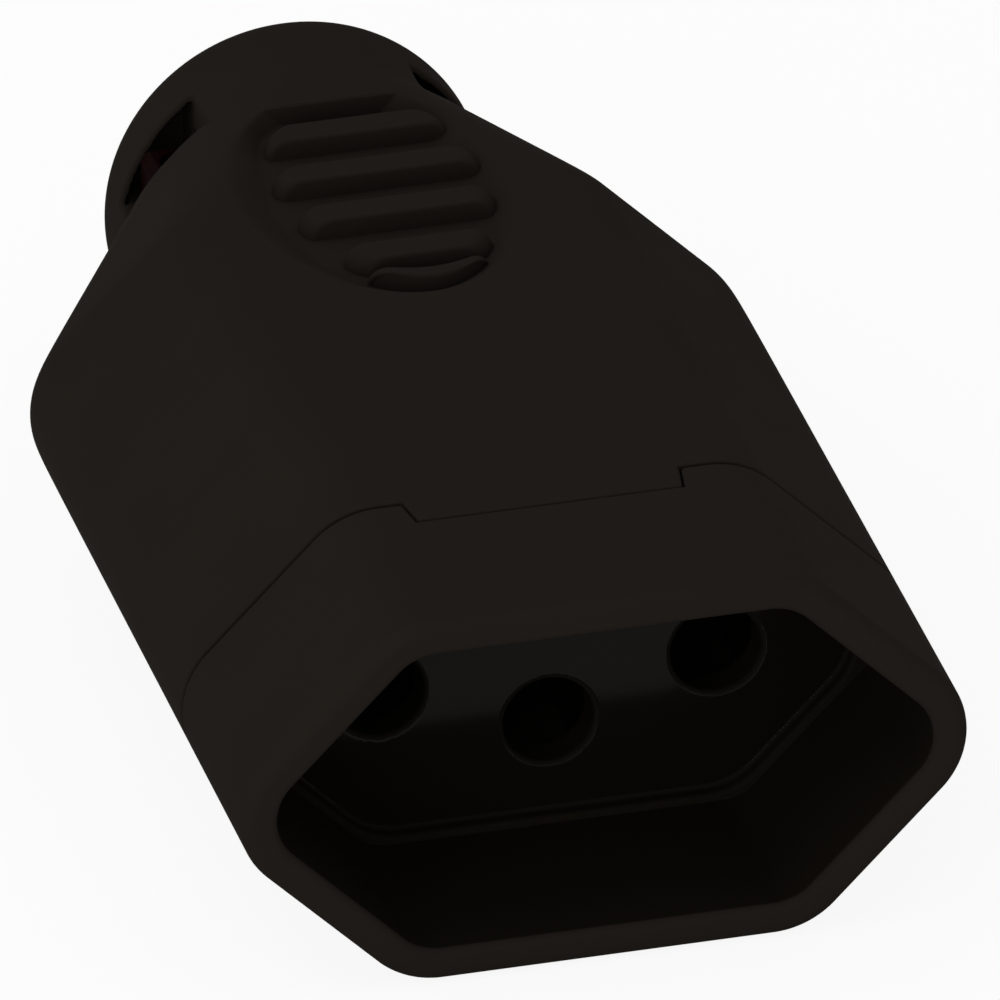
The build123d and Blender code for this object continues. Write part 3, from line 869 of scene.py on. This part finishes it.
@dataclass(frozen=True)
class SlottedScrew:
    """A zinc-plated screw with a slotted cheese head and a rolled thread. Millimetres."""

    node: str
    at: tuple[tuple[float, float, float], ...]
    axis: tuple[float, float, float]
    replaced: tuple[str, ...]
    shank_radius: float
    shank_length: float
    head_radius: float
    head_height: float
    pitch: float
    thread_depth: float = 0.22
    thread_flank: float = 1.25
    thread_crest: float = 0.05
    tip_edge: float = 0.35
    head_overlap: float = 0.3
    head_edge: float = 0.5
    slot_width: float = 0.8
    slot_depth: float = 0.9
    slot_edge: float = 0.08
    margin: float = 0.3
    side_spacing: float = 0.17
    length_spacing: float = 0.14

    def field(self, x: Array, y: Array, z: Array) -> Array:
        """Field of the screw with its head on +Z, standing on the underside of the head.

        Args:
            x: Places across the slot's length.
            y: Places across the slot.
            z: Heights from the underside of the head.

        Returns:
            Distances, negative inside.
        """
        radius = np.hypot(x, y)
        turn = np.arctan2(y, x) / (2 * math.pi)
        wave = np.abs((z / self.pitch - turn) % 1.0 - 0.5) * 2.0
        thread = np.clip(self.thread_flank * wave - self.thread_crest, 0.0, 1.0)
        shank = radius - self.shank_radius + self.thread_depth * thread
        tip = -self.shank_length - z
        shank = meet(np.maximum(shank, z - self.head_overlap), tip, self.tip_edge)
        head = meet(np.maximum(radius - self.head_radius, -z), z - self.head_height, self.head_edge)
        slot = np.maximum(np.abs(y) - self.slot_width / 2, self.head_height - self.slot_depth - z)
        return cut(np.minimum(head, shank), slot, self.slot_edge)

    def lattice(self) -> Lattice:
        """Sample lines close enough for the thread."""
        reach = self.head_radius + self.margin
        side = Lattice.lines((-reach, reach, self.side_spacing))
        along = Lattice.lines((-self.shank_length - self.margin, self.head_height + self.margin,
                               self.length_spacing))
        return Lattice(side, side, along)


SCREWS: tuple[SlottedScrew, ...] = (
    SlottedScrew("clamp_screws", ((-7.4, 66.15, -6.0), (7.4, 66.15, -6.0)), (0.0, 0.0, -1.0),
                 ("clamp_screw_left", "clamp_screw_right"), 1.25, 10.9, 2.2, 1.5, 0.9),
    SlottedScrew("terminal_screws", ((-9.5, 40.5, -1.5), (0.0, 40.5, -4.5), (9.5, 40.5, -1.5)),
                 (0.0, 0.0, 1.0),
                 ("line_terminal_screw", "earth_terminal_screw", "neutral_terminal_screw"),
                 1.75, 3.7, 3.0, 2.0, 0.6),
    SlottedScrew("retainer_screw_turned", ((0.0, 35.9, 4.9),), (0.0, 1.0, 0.0),
                 ("retainer_screw",), 1.45, 9.0, 2.7, 2.0, 1.1),
)


RIB_SPREAD = 10.0
RIB_BLOCK = {"Size": (2.0, 1.0, 1.0), "Vertices X": 80, "Vertices Y": 16, "Vertices Z": 11}
# Least half length of a rib, in metres.
RIB_LEAST = 0.0001
# Largest corner in plan, as a share of half the rib's width.
CORNER_SHARE = 0.7
# Foremost rib: where it ends and where it starts to bow, as shares of the oval's half length, and
# the share of its own depth that it bows back at its ends.
FRONT_END = -1.02
BOW_START = -0.8
BOW_SHARE = 0.65
# Height that the rays to the skin fall from, in metres.
RAY_TOP = 1.0
# Spacing of the sheet that the rays meet, in millimetres.
SHEET_SPACING = 0.4

Sum = tuple[object, ...]


def quarter_round(name: str, radius: str, past: str) -> tuple[Sum, ...]:
    """Sums for how far a quarter round falls.

    Args:
        name: First word of the results; the last of them is its fall.
        radius: Name of the round's radius.
        past: Name of the way past the start of the round.

    Returns:
        Rows for the sums of a tree.
    """
    run, run_2, radius_2, rest, safe, root = (
        f"{name} {word}" for word in ("run", "run 2", "radius 2", "rest", "safe", "root"))
    return (
        (run, "MAXIMUM", past, 0.0),
        (run_2, "MULTIPLY", run, run),
        (radius_2, "MULTIPLY", radius, radius),
        (rest, "SUBTRACT", radius_2, run_2),
        (safe, "MAXIMUM", rest, 0.0),
        (root, "SQRT", safe),
        (f"{name} fall", "SUBTRACT", radius, root),
    )


# Sums of the rib tree: result, operation and terms. A rib's block lies RIB_SPREAD times its number
# along Y before the sums, so that its number and the place within the block can be told apart.
RIB_SUMS: tuple[Sum, ...] = (
    ("row", "DIVIDE", "raw y", RIB_SPREAD),
    ("number", "ROUND", "row"),
    ("block y", "MULTIPLY_ADD", "number", -RIB_SPREAD, "raw y"),
    # closer lines near the block's edges, along X, Y and Z
    ("turn x", "MULTIPLY", "raw x", math.pi / 2),
    ("share x", "SINE", "turn x"),
    ("turn y", "MULTIPLY", "block y", math.pi),
    ("share y", "SINE", "turn y"),
    ("from top", "SUBTRACT", 0.5, "raw z"),
    ("share down", "MULTIPLY", "from top", "from top"),
    # rounded upper edge
    ("down", "MULTIPLY", "share down", "Height"),
    ("edge past", "SUBTRACT", "Edge", "down"),
    *quarter_round("edge", "Edge", "edge past"),
    # front and rear side of the rib, within the oval
    ("centre even", "MULTIPLY_ADD", "number", "Pitch", "First"),
    ("is front", "LESS_THAN", "number", 0.5),
    ("centre", "MULTIPLY_ADD", "is front", "Front Shift", "centre even"),
    ("half rib", "DIVIDE", "Width", 2.0),
    ("front most", "MULTIPLY", "Half Length", FRONT_END),
    ("front free", "SUBTRACT", "centre", "half rib"),
    ("rear", "ADD", "centre", "half rib"),
    ("front", "MAXIMUM", "front free", "front most"),
    ("both", "ADD", "front", "rear"),
    ("middle y", "DIVIDE", "both", 2.0),
    ("span", "SUBTRACT", "rear", "front"),
    ("half span", "DIVIDE", "span", 2.0),
    ("half y", "SUBTRACT", "half span", "edge fall"),
    ("off y", "MULTIPLY", "share y", "half y"),
    ("y", "ADD", "middle y", "off y"),
    # the front of the foremost rib is bowed along the oval
    ("bow from", "MULTIPLY", "Half Length", BOW_START),
    ("chord y", "MAXIMUM", "y", "bow from"),
    ("past", "SUBTRACT", "chord y", "y"),
    ("share x 2", "MULTIPLY", "share x", "share x"),
    ("bow full", "MULTIPLY", "past", "share x 2"),
    ("bowed y", "MULTIPLY_ADD", "bow full", BOW_SHARE, "y"),
    ("place y", "ADD", "bowed y", "Middle"),
    # rounded corner in plan
    ("side y", "ABSOLUTE", "off y"),
    ("corner most", "MULTIPLY", "half span", CORNER_SHARE),
    ("corner", "MINIMUM", "Corner", "corner most"),
    ("straight", "SUBTRACT", "half span", "corner"),
    ("corner past", "SUBTRACT", "side y", "straight"),
    *quarter_round("corner", "corner", "corner past"),
    # half length of the rib: the oval's chord
    ("level y", "DIVIDE", "chord y", "Half Length"),
    ("level y 2", "MULTIPLY", "level y", "level y"),
    ("chord 2", "SUBTRACT", 1.0, "level y 2"),
    ("chord share", "SQRT", "chord 2"),
    ("chord", "MULTIPLY", "chord share", "Half Width"),
    ("shorter", "SUBTRACT", "chord", "corner fall"),
    ("half x free", "SUBTRACT", "shorter", "edge fall"),
    ("half x", "MAXIMUM", "half x free", RIB_LEAST),
    ("x", "MULTIPLY", "share x", "half x"),
    ("place x", "ADD", "x", "Offset"),
    # distance to the rib's end, over which the end is rounded down
    ("side x", "ABSOLUTE", "x"),
    ("distance", "SUBTRACT", "half x", "side x"),
    ("end past", "SUBTRACT", "End", "distance"),
    *quarter_round("end", "End", "end past"),
    # depth below the skin
    ("root left", "SUBTRACT", "Height", "end fall"),
    ("sunk", "MULTIPLY_ADD", "root left", "share down", "end fall"),
)


@dataclass
class NodeWorkshop:
    """Geometry Nodes trees for what repeats on the socket."""

    @staticmethod
    def finished(name: str, tree: bpy.types.NodeTree,
                 values: dict[str, object]) -> bpy.types.Object:
        """Runs a tree and keeps its result as a plain mesh.

        Args:
            name: Name of the piece.
            tree: Geometry Nodes tree.
            values: Named inputs of the tree, with the material of the piece among them.

        Returns:
            A mesh object at the origin.
        """
        carrier = add_object(name + "_carrier", bpy.data.meshes.new(name + "_carrier"))
        modifier = carrier.modifiers.new("layout", "NODES")
        modifier.node_group = tree
        for item in tree.interface.items_tree:
            if item.in_out == "INPUT":
                modifier[item.identifier] = values[item.name]
        mesh = applied(carrier)
        mesh.name = name
        # the tree can leave an empty material slot before its own
        mesh.materials.clear()
        mesh.materials.append(values["Material"])
        mesh.polygons.foreach_set("material_index", [0] * len(mesh.polygons))
        return add_object(name, mesh)

    @staticmethod
    def tree(name: str, inputs: dict[str, str]) -> bpy.types.NodeTree:
        """Starts a geometry tree with named inputs.

        Args:
            name: Name of the tree.
            inputs: Input name to socket type.

        Returns:
            The tree, with its inputs and a Geometry output.
        """
        made = bpy.data.node_groups.new(name, "GeometryNodeTree")
        for label, kind in inputs.items():
            made.interface.new_socket(label, in_out="INPUT", socket_type=kind)
        made.interface.new_socket("Geometry", in_out="OUTPUT", socket_type="NodeSocketGeometry")
        return made

    def rib_tree(self) -> bpy.types.NodeTree:
        """Tree that sets ribs across an oval pad, with their tops on a skin.

        Each rib starts as a block of 2 by 1 by 1. The sums bend its ends to the oval, round its
        edges and drop it on to the skin. Lengths are in metres.

        Returns:
            The tree.
        """
        sizes = ("Pitch", "Width", "Half Width", "Half Length", "Height", "Edge", "End", "Corner",
                 "Offset", "Middle", "First", "Front Shift")
        kinds = {label: "NodeSocketFloat" for label in sizes}
        tree = self.tree("grip ribs", kinds | {
            "Ribs": "NodeSocketInt", "Skin": "NodeSocketObject", "Material": "NodeSocketMaterial"})
        given = add_node(tree, "NodeGroupInput").outputs
        order = add_node(tree, "GeometryNodeInputIndex")
        spread = add_node(tree, "ShaderNodeMath", {"operation": "MULTIPLY"},
                          {0: order.outputs[0], 1: RIB_SPREAD})
        spot = add_node(tree, "ShaderNodeCombineXYZ", None, {"Y": spread.outputs[0]})
        row = add_node(tree, "GeometryNodePoints", None,
                       {"Count": given["Ribs"], "Position": spot.outputs[0]})
        block = add_node(tree, "GeometryNodeMeshCube", None, RIB_BLOCK)
        stood = add_node(tree, "GeometryNodeInstanceOnPoints", None,
                         {"Points": row.outputs[0], "Instance": block.outputs["Mesh"]})
        real = add_node(tree, "GeometryNodeRealizeInstances", None, {0: stood.outputs[0]})
        place = add_node(tree, "GeometryNodeInputPosition")
        raw = add_node(tree, "ShaderNodeSeparateXYZ", None, {0: place.outputs[0]})
        known: dict[str, object] = {label: given[label] for label in sizes}
        known |= {"raw x": raw.outputs["X"], "raw y": raw.outputs["Y"], "raw z": raw.outputs["Z"]}
        for name, operation, *terms in RIB_SUMS:
            node = add_node(tree, "ShaderNodeMath", {"operation": operation},
                            {k: known.get(term, term) for k, term in enumerate(terms)})
            known[name] = node.outputs[0]
        above = add_node(tree, "ShaderNodeCombineXYZ", None,
                         {"X": known["place x"], "Y": known["place y"], "Z": RAY_TOP})
        skin = add_node(tree, "GeometryNodeObjectInfo", None, {"Object": given["Skin"]})
        drop = add_node(tree, "GeometryNodeRaycast", None,
                        {"Target Geometry": skin.outputs["Geometry"],
                         "Source Position": above.outputs[0], "Ray Direction": (0.0, 0.0, -1.0),
                         "Ray Length": 2 * RAY_TOP})
        lowered = add_node(tree, "ShaderNodeCombineXYZ", None, {"Z": known["sunk"]})
        final = add_node(tree, "ShaderNodeVectorMath", {"operation": "SUBTRACT"},
                         {0: drop.outputs["Hit Position"], 1: lowered.outputs[0]})
        bent = add_node(tree, "GeometryNodeSetPosition", None,
                        {"Geometry": real.outputs[0], "Position": final.outputs[0]})
        smooth = add_node(tree, "GeometryNodeSetShadeSmooth", None, {"Geometry": bent.outputs[0]})
        self._close(tree, smooth.outputs[0], given["Material"])
        return tree

    def screw_tree(self) -> bpy.types.NodeTree:
        """Tree that stands one screw at each point of a mesh.

        Returns:
            The tree. Its inputs are the points, the screw, its turn and its material.
        """
        tree = self.tree("screws", {"Places": "NodeSocketObject", "Screw": "NodeSocketObject",
                                    "Turn": "NodeSocketRotation",
                                    "Material": "NodeSocketMaterial"})
        given = add_node(tree, "NodeGroupInput").outputs
        places = add_node(tree, "GeometryNodeObjectInfo", None, {"Object": given["Places"]})
        screw = add_node(tree, "GeometryNodeObjectInfo", None, {"Object": given["Screw"]})
        stood = add_node(tree, "GeometryNodeInstanceOnPoints", None,
                         {"Points": places.outputs["Geometry"],
                          "Instance": screw.outputs["Geometry"], "Rotation": given["Turn"]})
        self._close(tree, stood.outputs[0], given["Material"])
        return tree

    @staticmethod
    def _close(tree: bpy.types.NodeTree, geometry: bpy.types.NodeSocket,
               material: bpy.types.NodeSocket) -> None:
        """Ends a tree in real geometry with its material."""
        real = add_node(tree, "GeometryNodeRealizeInstances", None, {0: geometry})
        dressed = add_node(tree, "GeometryNodeSetMaterial", None,
                           {"Geometry": real.outputs[0], "Material": material})
        add_node(tree, "NodeGroupOutput", None, {"Geometry": dressed.outputs[0]})


@dataclass
class InlineSocket:
    """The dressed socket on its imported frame."""

    nodes: dict[str, bpy.types.Object]
    record: dict
    frame: SocketFrame = field(default_factory=SocketFrame)
    mesher: FieldMesher = field(default_factory=FieldMesher)
    workshop: NodeWorkshop = field(default_factory=NodeWorkshop)
    materials: dict[Slot, bpy.types.Material] = field(default_factory=dict)

    def dress_nodes(self) -> None:
        """Gives every CAD node the finish of its slot."""
        for slot, finish in FINISHES.items():
            self.materials[slot] = finish.material()
        for part in self.record["subparts"]:
            node = self.nodes[part["node"]]
            node.data.materials.clear()
            node.data.materials.append(self.materials[Slot(part["material_slot"])])
            log.info("finish on %s", node.name)

    def add_piece(self, piece: bpy.types.Object, replaced: Sequence[str]) -> None:
        """Puts a finished piece on the frame.

        Args:
            piece: Mesh object at the origin.
            replaced: CAD nodes that the piece stands for.
        """
        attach(piece, Body.ROOT.value)
        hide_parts(*replaced)
        log.info("piece %s with %d faces", piece.name, len(piece.data.polygons))

    def moulding(self, name: str, shape: Field, lattice: Lattice, slot: Slot, node: str,
                 zones: Field | None = None) -> None:
        """Makes one moulding from its field in place of its CAD node.

        Args:
            name: Name of the piece.
            shape: Field of the moulding.
            lattice: Sample lines.
            slot: Material slot.
            node: CAD node that it stands for.
            zones: Material index over the moulding, in the order of Zone.
        """
        mesh = self.mesher.mesh(name, shape, lattice, self.frame, zones)
        mesh.materials.append(self.materials[slot])
        if zones is not None:
            # the recess walls and floor take darker materials as painted shade
            mesh.materials.append(RECESS_WALL_SHADED_POLYAMIDE.material())
            mesh.materials.append(POLISHED_FLOOR_SHADED_POLYAMIDE.material())
        self.add_piece(add_object(name, mesh), (node,))

    def grip_ribs(self, housing: RearHousing) -> None:
        """Sets the ribs into the thumb grip.

        Args:
            housing: Housing whose grip gets the ribs.
        """
        grip = housing.grip
        across = Lattice.lines((-grip.half_width, grip.half_width, SHEET_SPACING))
        along = grip.middle + Lattice.lines((-grip.half_length, grip.half_length, SHEET_SPACING))
        x, d = (part.ravel() for part in np.meshgrid(across, along, indexing="ij"))
        places = self.frame.place(np.stack([x, d, housing.form.top(x, d)], axis=1))
        columns = len(along)
        firsts = (i * columns + k for i in range(len(across) - 1) for k in range(columns - 1))
        faces = [(n, n + columns, n + columns + 1, n + 1) for n in firsts]
        skin = add_object("skin_over_grip", plain_mesh("skin_over_grip", places.tolist(), faces))
        first = grip.rib_middle - grip.pad_middle - grip.pitch * (grip.ribs - 1) / 2
        sizes = {
            "Pitch": grip.pitch, "Width": grip.rib_width, "Half Width": grip.pad_half_width,
            "Half Length": grip.pad_half_length, "Height": grip.depth + grip.rib_root,
            "Edge": grip.rib_edge, "End": grip.rib_end, "Corner": grip.rib_corner,
            "Offset": grip.pad_offset, "Middle": grip.pad_middle + self.frame.shift[1],
            "First": first, "Front Shift": grip.front_rib_shift,
        }
        values = {label: size * MM for label, size in sizes.items()}
        values |= {"Ribs": grip.ribs, "Skin": skin, "Material": self.materials[Slot.HOUSING]}
        piece = self.workshop.finished("grip_ribs", self.workshop.rib_tree(), values)
        bpy.data.objects.remove(skin)
        self.add_piece(piece, ("rear_housing",))

    def screws(self) -> None:
        """Stands the threaded screws in place of their plain CAD nodes."""
        tree = self.workshop.screw_tree()
        loose = SocketFrame(shift=(0.0, 0.0, 0.0))
        for screw in SCREWS:
            name = screw.node + "_master"
            mesh = self.mesher.mesh(name, screw.field, screw.lattice(), loose)
            master = add_object(name, mesh)
            name = screw.node + "_places"
            spots = [self.frame.point(*at) for at in screw.at]
            places = add_object(name, plain_mesh(name, spots, []))
            turn = Vector((0.0, 0.0, 1.0)).rotation_difference(Vector(screw.axis)).to_euler()
            values = {"Places": places, "Screw": master, "Turn": turn,
                      "Material": self.materials[Slot.SCREWS]}
            piece = self.workshop.finished(screw.node, tree, values)
            for helper in (master, places):
                bpy.data.objects.remove(helper)
            self.add_piece(piece, screw.replaced)

    def build(self) -> None:
        """Builds and dresses every piece."""
        self.dress_nodes()
        housing = RearHousing()
        front = SocketFront()
        self.moulding("housing_moulding", housing.field, housing.lattice(), Slot.HOUSING,
                      "rear_housing")
        self.moulding("front_moulding", front.field, front.lattice(), Slot.FRONT, "socket_front",
                      front.zones)
        self.grip_ribs(housing)
        self.screws()


@dataclass(frozen=True)
class Lamp:
    """A soft square lamp. Metres and watts."""

    name: str
    at: tuple[float, float, float]
    side: float
    power: float

    def hang(self, aim: Vector) -> None:
        """Hangs the lamp and turns it to a place.

        Args:
            aim: Place that the lamp points at.
        """
        light = bpy.data.lights.new(self.name, "AREA")
        light.shape = "SQUARE"
        light.size = self.side
        light.energy = self.power
        lamp = add_object(self.name, light)
        lamp.location = self.at
        lamp.rotation_mode = "QUATERNION"
        lamp.rotation_quaternion = (aim - Vector(self.at)).to_track_quat("-Z", "Y")


@dataclass(frozen=True)
class Studio:
    """Pale floor, soft light and the camera of the photograph. Metres and degrees."""

    target: tuple[float, float, float] = (0.000374, -0.0122, 0.015562)
    azimuth: float = -13.772
    elevation: float = 28.125
    roll: float = -0.965
    distance: float = 2.4
    lens: float = 1574.6
    sensor: float = 36.0
    clip: tuple[float, float] = (0.1, 20.0)
    floor_side: float = 8.0
    floor_drop: float = 0.0001
    world_strength: float = 0.68
    shadow_share: float = 0.1
    lamps: tuple[Lamp, ...] = (
        Lamp("front light", (-0.5, -0.82, 0.3), 0.7, 2.9),
        Lamp("top light", (-0.6, 0.1, 0.8), 0.7, 1.7),
    )

    def set_up(self) -> None:
        """Sets up view, world, floor, lamps and camera."""
        bpy.context.scene.view_settings.view_transform = "Standard"
        self._world()
        self._floor()
        for lamp in self.lamps:
            lamp.hang(Vector(self.target))
        self._camera()

    @staticmethod
    def _white_rays(tree: bpy.types.NodeTree) -> bpy.types.NodeSocket:
        """Tells the rays that see the white background: from the camera, gloss and glass."""
        ray = add_node(tree, "ShaderNodeLightPath")
        gloss = add_node(tree, "ShaderNodeMath", {"operation": "MAXIMUM"},
                         {0: ray.outputs["Is Camera Ray"], 1: ray.outputs["Is Glossy Ray"]})
        glass = add_node(tree, "ShaderNodeMath", {"operation": "MAXIMUM"},
                         {0: gloss.outputs[0], 1: ray.outputs["Is Transmission Ray"]})
        return glass.outputs[0]

    def _world(self) -> None:
        """Lights the scene evenly from all sides, as a light tent does."""
        world = bpy.data.worlds.new("studio")
        world.use_nodes = True
        bpy.context.scene.world = world
        tree = world.node_tree
        tree.nodes.clear()
        soft = add_node(tree, "ShaderNodeBackground", None,
                        {"Color": linear("#ffffff"), "Strength": self.world_strength})
        add_node(tree, "ShaderNodeOutputWorld", None, {"Surface": soft.outputs[0]})

    def _floor(self) -> None:
        """Lays a pale floor that keeps a faint shadow."""
        half = self.floor_side / 2
        ends = [(-half, -half, 0.0), (half, -half, 0.0), (half, half, 0.0), (-half, half, 0.0)]
        mesh = plain_mesh("studio_floor", ends, [(0, 1, 2, 3)])
        floor = add_object("studio_floor", mesh)
        floor.location.z = -self.floor_drop
        paper = bpy.data.materials.new("studio paper")
        paper.use_nodes = True
        tree = paper.node_tree
        tree.nodes.clear()
        matt = add_node(tree, "ShaderNodeBsdfDiffuse", None, {"Color": linear("#f2f2f2")})
        glow = add_node(tree, "ShaderNodeEmission", None,
                        {"Color": linear("#ffffff"), "Strength": 1.0})
        faint = add_node(tree, "ShaderNodeMixShader", None,
                         {0: self.shadow_share, 1: glow.outputs[0], 2: matt.outputs[0]})
        mixed = add_node(tree, "ShaderNodeMixShader", None,
                         {0: self._white_rays(tree), 1: matt.outputs[0], 2: faint.outputs[0]})
        add_node(tree, "ShaderNodeOutputMaterial", None, {"Surface": mixed.outputs[0]})
        mesh.materials.append(paper)

    def _camera(self) -> None:
        """Stands the camera where the photograph was taken from."""
        azimuth, elevation, roll = (math.radians(v) for v in
                                    (self.azimuth, self.elevation, self.roll))
        back = Vector((math.sin(azimuth) * math.cos(elevation),
                       -math.cos(azimuth) * math.cos(elevation), math.sin(elevation)))
        level = Vector((math.cos(azimuth), math.sin(azimuth), 0.0))
        rise = back.cross(level)
        right = level * math.cos(roll) + rise * math.sin(roll)
        up = rise * math.cos(roll) - level * math.sin(roll)
        data = bpy.data.cameras.new("photo camera")
        data.sensor_width = self.sensor
        data.lens = self.lens
        data.clip_start, data.clip_end = self.clip
        camera = add_object("photo camera", data)
        place = Vector(self.target) + back * self.distance
        camera.matrix_world = Matrix((
            (right.x, up.x, back.x, place.x),
            (right.y, up.y, back.y, place.y),
            (right.z, up.z, back.z, place.z),
            (0.0, 0.0, 0.0, 1.0),
        ))
        bpy.context.scene.camera = camera


def main() -> None:
    """Loads the frame, builds the socket and the studio."""
    logging.basicConfig(level=logging.INFO, format="%(name)s: %(message)s")
    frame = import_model()
    Studio().set_up()
    InlineSocket(frame["nodes"], frame["record"]).build()


if __name__ == "__main__":
    main()
